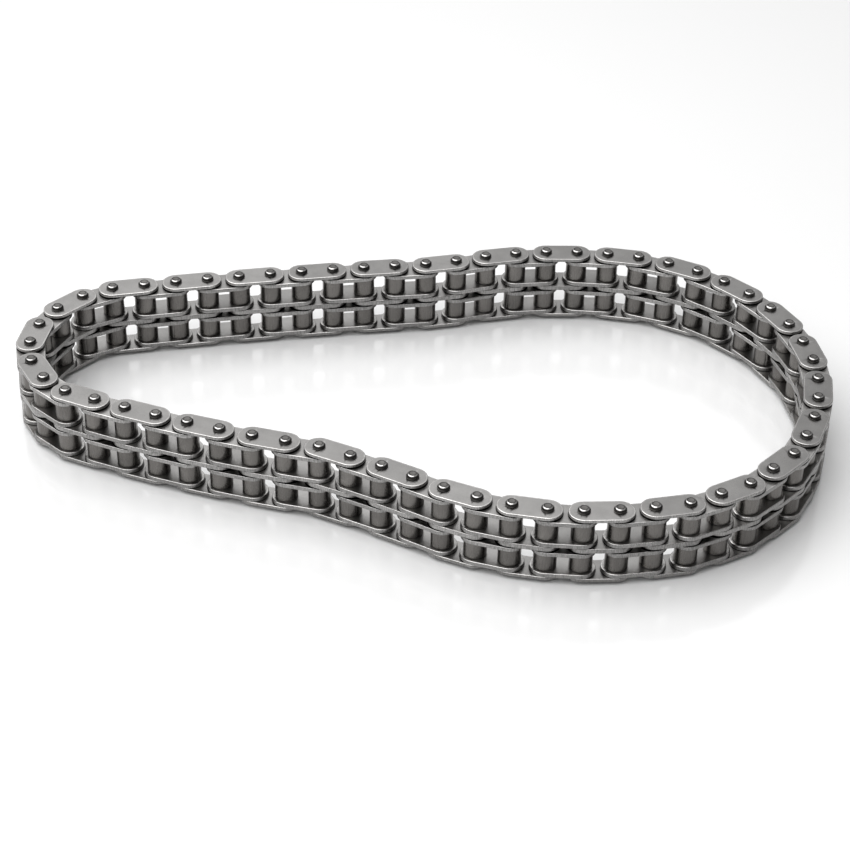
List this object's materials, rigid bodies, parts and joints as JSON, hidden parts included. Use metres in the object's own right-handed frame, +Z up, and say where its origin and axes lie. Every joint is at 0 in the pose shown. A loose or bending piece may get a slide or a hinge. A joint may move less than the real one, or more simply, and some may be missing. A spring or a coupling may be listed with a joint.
{
  "type": "roller chain",
  "caption": "Endless duplex roller chain in steel, lying on its side in a loose closed loop, jointed at its pins.",
  "frame": {"origin": "under the middle of the loop, on the surface that the lower pin ends stand on", "axes": "+X along the longer side of the loop, towards its rounder end; +Y across the loop; +Z up, along the pins"},
  "size_m": [0.2342, 0.1374, 0.0234],
  "materials": {
    "outer_link_steel": "satin, tumbled, lightly oiled steel",
    "inner_link_steel": "satin, tumbled, lightly oiled steel"
  },
  "bodies": {
    "outer_link_01": {"outer_link_01": "outer_link_steel"},
    "inner_link_01": {"inner_link_01": "inner_link_steel"},
    "outer_link_02": {"outer_link_02": "outer_link_steel"},
    "inner_link_02": {"inner_link_02": "inner_link_steel"},
    "outer_link_03": {"outer_link_03": "outer_link_steel"},
    "inner_link_03": {"inner_link_03": "inner_link_steel"},
    "outer_link_04": {"outer_link_04": "outer_link_steel"},
    "inner_link_04": {"inner_link_04": "inner_link_steel"},
    "outer_link_05": {"outer_link_05": "outer_link_steel"},
    "inner_link_05": {"inner_link_05": "inner_link_steel"},
    "outer_link_06": {"outer_link_06": "outer_link_steel"},
    "inner_link_06": {"inner_link_06": "inner_link_steel"},
    "outer_link_07": {"outer_link_07": "outer_link_steel"},
    "inner_link_07": {"inner_link_07": "inner_link_steel"},
    "outer_link_08": {"outer_link_08": "outer_link_steel"},
    "inner_link_08": {"inner_link_08": "inner_link_steel"},
    "outer_link_09": {"outer_link_09": "outer_link_steel"},
    "inner_link_09": {"inner_link_09": "inner_link_steel"},
    "outer_link_10": {"outer_link_10": "outer_link_steel"},
    "inner_link_10": {"inner_link_10": "inner_link_steel"},
    "outer_link_11": {"outer_link_11": "outer_link_steel"},
    "inner_link_11": {"inner_link_11": "inner_link_steel"},
    "outer_link_12": {"outer_link_12": "outer_link_steel"},
    "inner_link_12": {"inner_link_12": "inner_link_steel"},
    "outer_link_13": {"outer_link_13": "outer_link_steel"},
    "inner_link_13": {"inner_link_13": "inner_link_steel"},
    "outer_link_14": {"outer_link_14": "outer_link_steel"},
    "inner_link_14": {"inner_link_14": "inner_link_steel"},
    "outer_link_15": {"outer_link_15": "outer_link_steel"},
    "inner_link_15": {"inner_link_15": "inner_link_steel"},
    "outer_link_16": {"outer_link_16": "outer_link_steel"},
    "inner_link_16": {"inner_link_16": "inner_link_steel"},
    "outer_link_17": {"outer_link_17": "outer_link_steel"},
    "inner_link_17": {"inner_link_17": "inner_link_steel"},
    "outer_link_18": {"outer_link_18": "outer_link_steel"},
    "inner_link_18": {"inner_link_18": "inner_link_steel"},
    "outer_link_19": {"outer_link_19": "outer_link_steel"},
    "inner_link_19": {"inner_link_19": "inner_link_steel"},
    "outer_link_20": {"outer_link_20": "outer_link_steel"},
    "inner_link_20": {"inner_link_20": "inner_link_steel"},
    "outer_link_21": {"outer_link_21": "outer_link_steel"},
    "inner_link_21": {"inner_link_21": "inner_link_steel"},
    "outer_link_22": {"outer_link_22": "outer_link_steel"},
    "inner_link_22": {"inner_link_22": "inner_link_steel"},
    "outer_link_23": {"outer_link_23": "outer_link_steel"},
    "inner_link_23": {"inner_link_23": "inner_link_steel"},
    "outer_link_24": {"outer_link_24": "outer_link_steel"},
    "inner_link_24": {"inner_link_24": "inner_link_steel"},
    "outer_link_25": {"outer_link_25": "outer_link_steel"},
    "inner_link_25": {"inner_link_25": "inner_link_steel"},
    "outer_link_26": {"outer_link_26": "outer_link_steel"},
    "inner_link_26": {"inner_link_26": "inner_link_steel"},
    "outer_link_27": {"outer_link_27": "outer_link_steel"},
    "inner_link_27": {"inner_link_27": "inner_link_steel"},
    "outer_link_28": {"outer_link_28": "outer_link_steel"},
    "inner_link_28": {"inner_link_28": "inner_link_steel"},
    "outer_link_29": {"outer_link_29": "outer_link_steel"},
    "inner_link_29": {"inner_link_29": "inner_link_steel"},
    "outer_link_30": {"outer_link_30": "outer_link_steel"},
    "inner_link_30": {"inner_link_30": "inner_link_steel"}
  },
  "joints": [
    {"name": "pivot_31", "type": "hinge", "parent": "outer_link_16", "child": "inner_link_16", "pos_m": [0.11184, -0.01117, 0.0117], "axis": [0, 0, 1], "range_deg": [-5.61, 5.61]},
    {"name": "pivot_32", "type": "hinge", "parent": "inner_link_16", "child": "outer_link_17", "pos_m": [0.10955, -0.02042, 0.0117], "axis": [0, 0, 1], "range_deg": [-5.37, 5.37]},
    {"name": "pivot_33", "type": "hinge", "parent": "outer_link_17", "child": "inner_link_17", "pos_m": [0.10616, -0.02932, 0.0117], "axis": [0, 0, 1], "range_deg": [-9, 9]},
    {"name": "pivot_34", "type": "hinge", "parent": "inner_link_17", "child": "outer_link_18", "pos_m": [0.10171, -0.03774, 0.0117], "axis": [0, 0, 1], "range_deg": [-7.4, 7.4]},
    {"name": "pivot_35", "type": "hinge", "parent": "outer_link_18", "child": "inner_link_18", "pos_m": [0.09522, -0.04472, 0.0117], "axis": [0, 0, 1], "range_deg": [-6.17, 6.17]},
    {"name": "pivot_36", "type": "hinge", "parent": "inner_link_18", "child": "outer_link_19", "pos_m": [0.08844, -0.05141, 0.0117], "axis": [0, 0, 1], "range_deg": [-6.39, 6.39]},
    {"name": "pivot_37", "type": "hinge", "parent": "outer_link_19", "child": "inner_link_19", "pos_m": [0.08016, -0.05611, 0.0117], "axis": [0, 0, 1], "range_deg": [-3.03, 3.03]},
    {"name": "pivot_38", "type": "hinge", "parent": "inner_link_19", "child": "outer_link_20", "pos_m": [0.07168, -0.06045, 0.0117], "axis": [0, 0, 1], "range_deg": [-3, 3]},
    {"name": "pivot_39", "type": "hinge", "parent": "outer_link_20", "child": "inner_link_20", "pos_m": [0.06237, -0.06244, 0.0117], "axis": [0, 0, 1], "range_deg": [-4.63, 4.63]},
    {"name": "pivot_40", "type": "hinge", "parent": "inner_link_20", "child": "outer_link_21", "pos_m": [0.05298, -0.06403, 0.0117], "axis": [0, 0, 1], "range_deg": [-3.55, 3.55]},
    {"name": "pivot_41", "type": "hinge", "parent": "outer_link_21", "child": "inner_link_21", "pos_m": [0.04346, -0.06453, 0.0117], "axis": [0, 0, 1], "range_deg": [-5.05, 5.05]},
    {"name": "pivot_42", "type": "hinge", "parent": "inner_link_21", "child": "outer_link_22", "pos_m": [0.03396, -0.06396, 0.0117], "axis": [0, 0, 1], "range_deg": [-3.92, 3.92]},
    {"name": "pivot_43", "type": "hinge", "parent": "outer_link_22", "child": "inner_link_22", "pos_m": [0.02457, -0.06231, 0.0117], "axis": [0, 0, 1], "range_deg": [-7.62, 7.62]},
    {"name": "pivot_44", "type": "hinge", "parent": "inner_link_22", "child": "outer_link_23", "pos_m": [0.01544, -0.05961, 0.0117], "axis": [0, 0, 1], "range_deg": [-7.56, 7.56]},
    {"name": "pivot_45", "type": "hinge", "parent": "outer_link_23", "child": "inner_link_23", "pos_m": [0.00667, -0.05589, 0.0117], "axis": [0, 0, 1], "range_deg": [-7.67, 7.67]},
    {"name": "pivot_46", "type": "hinge", "parent": "inner_link_23", "child": "outer_link_24", "pos_m": [-0.00162, -0.0512, 0.0117], "axis": [0, 0, 1], "range_deg": [-8.8, 8.8]},
    {"name": "pivot_47", "type": "hinge", "parent": "outer_link_24", "child": "inner_link_24", "pos_m": [-0.01003, -0.04672, 0.0117], "axis": [0, 0, 1], "range_deg": [-2.33, 2.33]},
    {"name": "pivot_48", "type": "hinge", "parent": "inner_link_24", "child": "outer_link_25", "pos_m": [-0.01855, -0.04247, 0.0117], "axis": [0, 0, 1], "range_deg": [-2.59, 2.59]},
    {"name": "pivot_49", "type": "hinge", "parent": "outer_link_25", "child": "inner_link_25", "pos_m": [-0.02718, -0.03845, 0.0117], "axis": [0, 0, 1], "range_deg": [-1.61, 1.61]},
    {"name": "pivot_50", "type": "hinge", "parent": "inner_link_25", "child": "outer_link_26", "pos_m": [-0.03646, -0.03631, 0.0117], "axis": [0, 0, 1], "range_deg": [-1.67, 1.67]},
    {"name": "pivot_51", "type": "hinge", "parent": "outer_link_26", "child": "inner_link_26", "pos_m": [-0.04569, -0.03393, 0.0117], "axis": [0, 0, 1], "range_deg": [-2.07, 2.07]},
    {"name": "pivot_52", "type": "hinge", "parent": "inner_link_26", "child": "outer_link_27", "pos_m": [-0.05484, -0.0313, 0.0117], "axis": [0, 0, 1], "range_deg": [-5.22, 5.22]},
    {"name": "pivot_53", "type": "hinge", "parent": "outer_link_27", "child": "inner_link_27", "pos_m": [-0.06393, -0.02844, 0.0117], "axis": [0, 0, 1], "range_deg": [-2.96, 2.96]},
    {"name": "pivot_54", "type": "hinge", "parent": "inner_link_27", "child": "outer_link_28", "pos_m": [-0.07294, -0.02534, 0.0117], "axis": [0, 0, 1], "range_deg": [-10.15, 10.15]},
    {"name": "pivot_55", "type": "hinge", "parent": "outer_link_28", "child": "inner_link_28", "pos_m": [-0.08186, -0.02201, 0.0117], "axis": [0, 0, 1], "range_deg": [-1.75, 1.75]},
    {"name": "pivot_56", "type": "hinge", "parent": "inner_link_28", "child": "outer_link_29", "pos_m": [-0.09069, -0.01844, 0.0117], "axis": [0, 0, 1], "range_deg": [-9.55, 9.55]},
    {"name": "pivot_57", "type": "hinge", "parent": "outer_link_29", "child": "inner_link_29", "pos_m": [-0.09942, -0.01464, 0.0117], "axis": [0, 0, 1], "range_deg": [-10.22, 10.22]},
    {"name": "pivot_58", "type": "hinge", "parent": "inner_link_29", "child": "outer_link_30", "pos_m": [-0.1065, -0.00827, 0.0117], "axis": [0, 0, 1], "range_deg": [-2.42, 2.42]},
    {"name": "pivot_59", "type": "hinge", "parent": "outer_link_30", "child": "inner_link_30", "pos_m": [-0.11118, 0.00003, 0.0117], "axis": [0, 0, 1], "range_deg": [-5.9, 5.9]},
    {"name": "pivot_30", "type": "hinge", "parent": "outer_link_16", "child": "inner_link_15", "pos_m": [0.11298, -0.00171, 0.0117], "axis": [0, 0, 1], "range_deg": [-5.69, 5.69]},
    {"name": "pivot_29", "type": "hinge", "parent": "inner_link_15", "child": "outer_link_15", "pos_m": [0.11288, 0.00781, 0.0117], "axis": [0, 0, 1], "range_deg": [-5.34, 5.34]},
    {"name": "pivot_28", "type": "hinge", "parent": "outer_link_15", "child": "inner_link_14", "pos_m": [0.11113, 0.01717, 0.0117], "axis": [0, 0, 1], "range_deg": [-7.19, 7.19]},
    {"name": "pivot_27", "type": "hinge", "parent": "inner_link_14", "child": "outer_link_14", "pos_m": [0.10817, 0.02623, 0.0117], "axis": [0, 0, 1], "range_deg": [-8.18, 8.18]},
    {"name": "pivot_26", "type": "hinge", "parent": "outer_link_14", "child": "inner_link_13", "pos_m": [0.10369, 0.03463, 0.0117], "axis": [0, 0, 1], "range_deg": [-6.02, 6.02]},
    {"name": "pivot_25", "type": "hinge", "parent": "inner_link_13", "child": "outer_link_13", "pos_m": [0.09815, 0.04238, 0.0117], "axis": [0, 0, 1], "range_deg": [-5.6, 5.6]},
    {"name": "pivot_24", "type": "hinge", "parent": "outer_link_13", "child": "inner_link_12", "pos_m": [0.09135, 0.04905, 0.0117], "axis": [0, 0, 1], "range_deg": [-3.62, 3.62]},
    {"name": "pivot_23", "type": "hinge", "parent": "inner_link_12", "child": "outer_link_12", "pos_m": [0.08374, 0.05478, 0.0117], "axis": [0, 0, 1], "range_deg": [-3.27, 3.27]},
    {"name": "pivot_22", "type": "hinge", "parent": "outer_link_12", "child": "inner_link_11", "pos_m": [0.07525, 0.0591, 0.0117], "axis": [0, 0, 1], "range_deg": [-3.25, 3.25]},
    {"name": "pivot_21", "type": "hinge", "parent": "inner_link_11", "child": "outer_link_11", "pos_m": [0.06627, 0.06228, 0.0117], "axis": [0, 0, 1], "range_deg": [-3.69, 3.69]},
    {"name": "pivot_20", "type": "hinge", "parent": "outer_link_11", "child": "inner_link_10", "pos_m": [0.05688, 0.06386, 0.0117], "axis": [0, 0, 1], "range_deg": [-5.04, 5.04]},
    {"name": "pivot_19", "type": "hinge", "parent": "inner_link_10", "child": "outer_link_10", "pos_m": [0.04738, 0.06453, 0.0117], "axis": [0, 0, 1], "range_deg": [-3.53, 3.53]},
    {"name": "pivot_18", "type": "hinge", "parent": "outer_link_10", "child": "inner_link_09", "pos_m": [0.03786, 0.06429, 0.0117], "axis": [0, 0, 1], "range_deg": [-5.76, 5.76]},
    {"name": "pivot_17", "type": "hinge", "parent": "inner_link_09", "child": "outer_link_09", "pos_m": [0.0284, 0.06314, 0.0117], "axis": [0, 0, 1], "range_deg": [-9.36, 9.36]},
    {"name": "pivot_16", "type": "hinge", "parent": "outer_link_09", "child": "inner_link_08", "pos_m": [0.0191, 0.06109, 0.0117], "axis": [0, 0, 1], "range_deg": [-6.44, 6.44]},
    {"name": "pivot_15", "type": "hinge", "parent": "inner_link_08", "child": "outer_link_08", "pos_m": [0.01004, 0.05816, 0.0117], "axis": [0, 0, 1], "range_deg": [-9.53, 9.53]},
    {"name": "pivot_14", "type": "hinge", "parent": "outer_link_08", "child": "inner_link_07", "pos_m": [0.00075, 0.05603, 0.0117], "axis": [0, 0, 1], "range_deg": [-2.56, 2.56]},
    {"name": "pivot_13", "type": "hinge", "parent": "inner_link_07", "child": "outer_link_07", "pos_m": [-0.00868, 0.05472, 0.0117], "axis": [0, 0, 1], "range_deg": [-3.32, 3.32]},
    {"name": "pivot_12", "type": "hinge", "parent": "outer_link_07", "child": "inner_link_06", "pos_m": [-0.0181, 0.05332, 0.0117], "axis": [0, 0, 1], "range_deg": [-1.72, 1.72]},
    {"name": "pivot_11", "type": "hinge", "parent": "inner_link_06", "child": "outer_link_06", "pos_m": [-0.02751, 0.05184, 0.0117], "axis": [0, 0, 1], "range_deg": [-1.71, 1.71]},
    {"name": "pivot_10", "type": "hinge", "parent": "outer_link_06", "child": "inner_link_05", "pos_m": [-0.03691, 0.05028, 0.0117], "axis": [0, 0, 1], "range_deg": [-2.13, 2.13]},
    {"name": "pivot_09", "type": "hinge", "parent": "inner_link_05", "child": "outer_link_05", "pos_m": [-0.04629, 0.04864, 0.0117], "axis": [0, 0, 1], "range_deg": [-5.78, 5.78]},
    {"name": "pivot_08", "type": "hinge", "parent": "outer_link_05", "child": "inner_link_04", "pos_m": [-0.05566, 0.04692, 0.0117], "axis": [0, 0, 1], "range_deg": [-2.19, 2.19]},
    {"name": "pivot_07", "type": "hinge", "parent": "inner_link_04", "child": "outer_link_04", "pos_m": [-0.06501, 0.04511, 0.0117], "axis": [0, 0, 1], "range_deg": [-9.14, 9.14]},
    {"name": "pivot_06", "type": "hinge", "parent": "outer_link_04", "child": "inner_link_03", "pos_m": [-0.07435, 0.04322, 0.0117], "axis": [0, 0, 1], "range_deg": [-4.47, 4.47]},
    {"name": "pivot_05", "type": "hinge", "parent": "inner_link_03", "child": "outer_link_03", "pos_m": [-0.08367, 0.04125, 0.0117], "axis": [0, 0, 1], "range_deg": [-9.51, 9.51]},
    {"name": "pivot_04", "type": "hinge", "parent": "outer_link_03", "child": "inner_link_02", "pos_m": [-0.09297, 0.0392, 0.0117], "axis": [0, 0, 1], "range_deg": [-7.34, 7.34]},
    {"name": "pivot_03", "type": "hinge", "parent": "inner_link_02", "child": "outer_link_02", "pos_m": [-0.10122, 0.03446, 0.0117], "axis": [0, 0, 1], "range_deg": [-3.83, 3.83]},
    {"name": "pivot_02", "type": "hinge", "parent": "outer_link_02", "child": "inner_link_01", "pos_m": [-0.10767, 0.02745, 0.0117], "axis": [0, 0, 1], "range_deg": [-7.51, 7.51]},
    {"name": "pivot_01", "type": "hinge", "parent": "inner_link_01", "child": "outer_link_01", "pos_m": [-0.11172, 0.01882, 0.0117], "axis": [0, 0, 1], "range_deg": [-2.14, 2.14]}
  ],
  "couplings": [
    {"joint": "pivot_31", "follows": "pivot_33", "ratio": 0.62253},
    {"joint": "pivot_32", "follows": "pivot_34", "ratio": -0.7246},
    {"joint": "pivot_35", "follows": "pivot_33", "ratio": 0.68532},
    {"joint": "pivot_36", "follows": "pivot_34", "ratio": 0.8634},
    {"joint": "pivot_37", "follows": "pivot_33", "ratio": 0.33572},
    {"joint": "pivot_38", "follows": "pivot_34", "ratio": -0.4043},
    {"joint": "pivot_39", "follows": "pivot_33", "ratio": 0.51372},
    {"joint": "pivot_40", "follows": "pivot_34", "ratio": -0.47903},
    {"joint": "pivot_41", "follows": "pivot_33", "ratio": -0.56076},
    {"joint": "pivot_42", "follows": "pivot_34", "ratio": 0.52941},
    {"joint": "pivot_43", "follows": "pivot_33", "ratio": -0.84577},
    {"joint": "pivot_44", "follows": "pivot_34", "ratio": 1.0206},
    {"joint": "pivot_45", "follows": "pivot_33", "ratio": -0.85175},
    {"joint": "pivot_46", "follows": "pivot_34", "ratio": 1.189},
    {"joint": "pivot_47", "follows": "pivot_33", "ratio": -0.25879},
    {"joint": "pivot_48", "follows": "pivot_34", "ratio": 0.34869},
    {"joint": "pivot_49", "follows": "pivot_33", "ratio": -0.17805},
    {"joint": "pivot_50", "follows": "pivot_34", "ratio": -0.22461},
    {"joint": "pivot_51", "follows": "pivot_33", "ratio": -0.22949},
    {"joint": "pivot_52", "follows": "pivot_34", "ratio": -0.70479},
    {"joint": "pivot_53", "follows": "pivot_33", "ratio": -0.32868},
    {"joint": "pivot_54", "follows": "pivot_34", "ratio": -1.3703},
    {"joint": "pivot_55", "follows": "pivot_33", "ratio": -0.19406},
    {"joint": "pivot_56", "follows": "pivot_34", "ratio": -1.2905},
    {"joint": "pivot_57", "follows": "pivot_33", "ratio": 1.1346},
    {"joint": "pivot_58", "follows": "pivot_34", "ratio": -0.32682},
    {"joint": "pivot_59", "follows": "pivot_33", "ratio": 0.65482},
    {"joint": "pivot_30", "follows": "pivot_34", "ratio": 0.7679},
    {"joint": "pivot_29", "follows": "pivot_33", "ratio": -0.5923},
    {"joint": "pivot_28", "follows": "pivot_34", "ratio": 0.97118},
    {"joint": "pivot_27", "follows": "pivot_33", "ratio": 0.90778},
    {"joint": "pivot_26", "follows": "pivot_34", "ratio": 0.81235},
    {"joint": "pivot_25", "follows": "pivot_33", "ratio": 0.62111},
    {"joint": "pivot_24", "follows": "pivot_34", "ratio": 0.48854},
    {"joint": "pivot_23", "follows": "pivot_33", "ratio": -0.36299},
    {"joint": "pivot_22", "follows": "pivot_34", "ratio": 0.43846},
    {"joint": "pivot_21", "follows": "pivot_33", "ratio": -0.4098},
    {"joint": "pivot_20", "follows": "pivot_34", "ratio": -0.68083},
    {"joint": "pivot_19", "follows": "pivot_33", "ratio": 0.39189},
    {"joint": "pivot_18", "follows": "pivot_34", "ratio": -0.77831},
    {"joint": "pivot_17", "follows": "pivot_33", "ratio": 1.039},
    {"joint": "pivot_16", "follows": "pivot_34", "ratio": -0.86927},
    {"joint": "pivot_15", "follows": "pivot_33", "ratio": 1.0584},
    {"joint": "pivot_14", "follows": "pivot_34", "ratio": -0.34557},
    {"joint": "pivot_13", "follows": "pivot_33", "ratio": 0.3686},
    {"joint": "pivot_12", "follows": "pivot_34", "ratio": -0.23181},
    {"joint": "pivot_11", "follows": "pivot_33", "ratio": -0.18895},
    {"joint": "pivot_10", "follows": "pivot_34", "ratio": -0.28756},
    {"joint": "pivot_09", "follows": "pivot_33", "ratio": -0.64155},
    {"joint": "pivot_08", "follows": "pivot_34", "ratio": -0.29522},
    {"joint": "pivot_07", "follows": "pivot_33", "ratio": -1.0149},
    {"joint": "pivot_06", "follows": "pivot_34", "ratio": -0.60355},
    {"joint": "pivot_05", "follows": "pivot_33", "ratio": -1.0559},
    {"joint": "pivot_04", "follows": "pivot_34", "ratio": 0.9907},
    {"joint": "pivot_03", "follows": "pivot_33", "ratio": -0.42552},
    {"joint": "pivot_02", "follows": "pivot_34", "ratio": 1.0138},
    {"joint": "pivot_01", "follows": "pivot_33", "ratio": -0.23769}
  ]
}
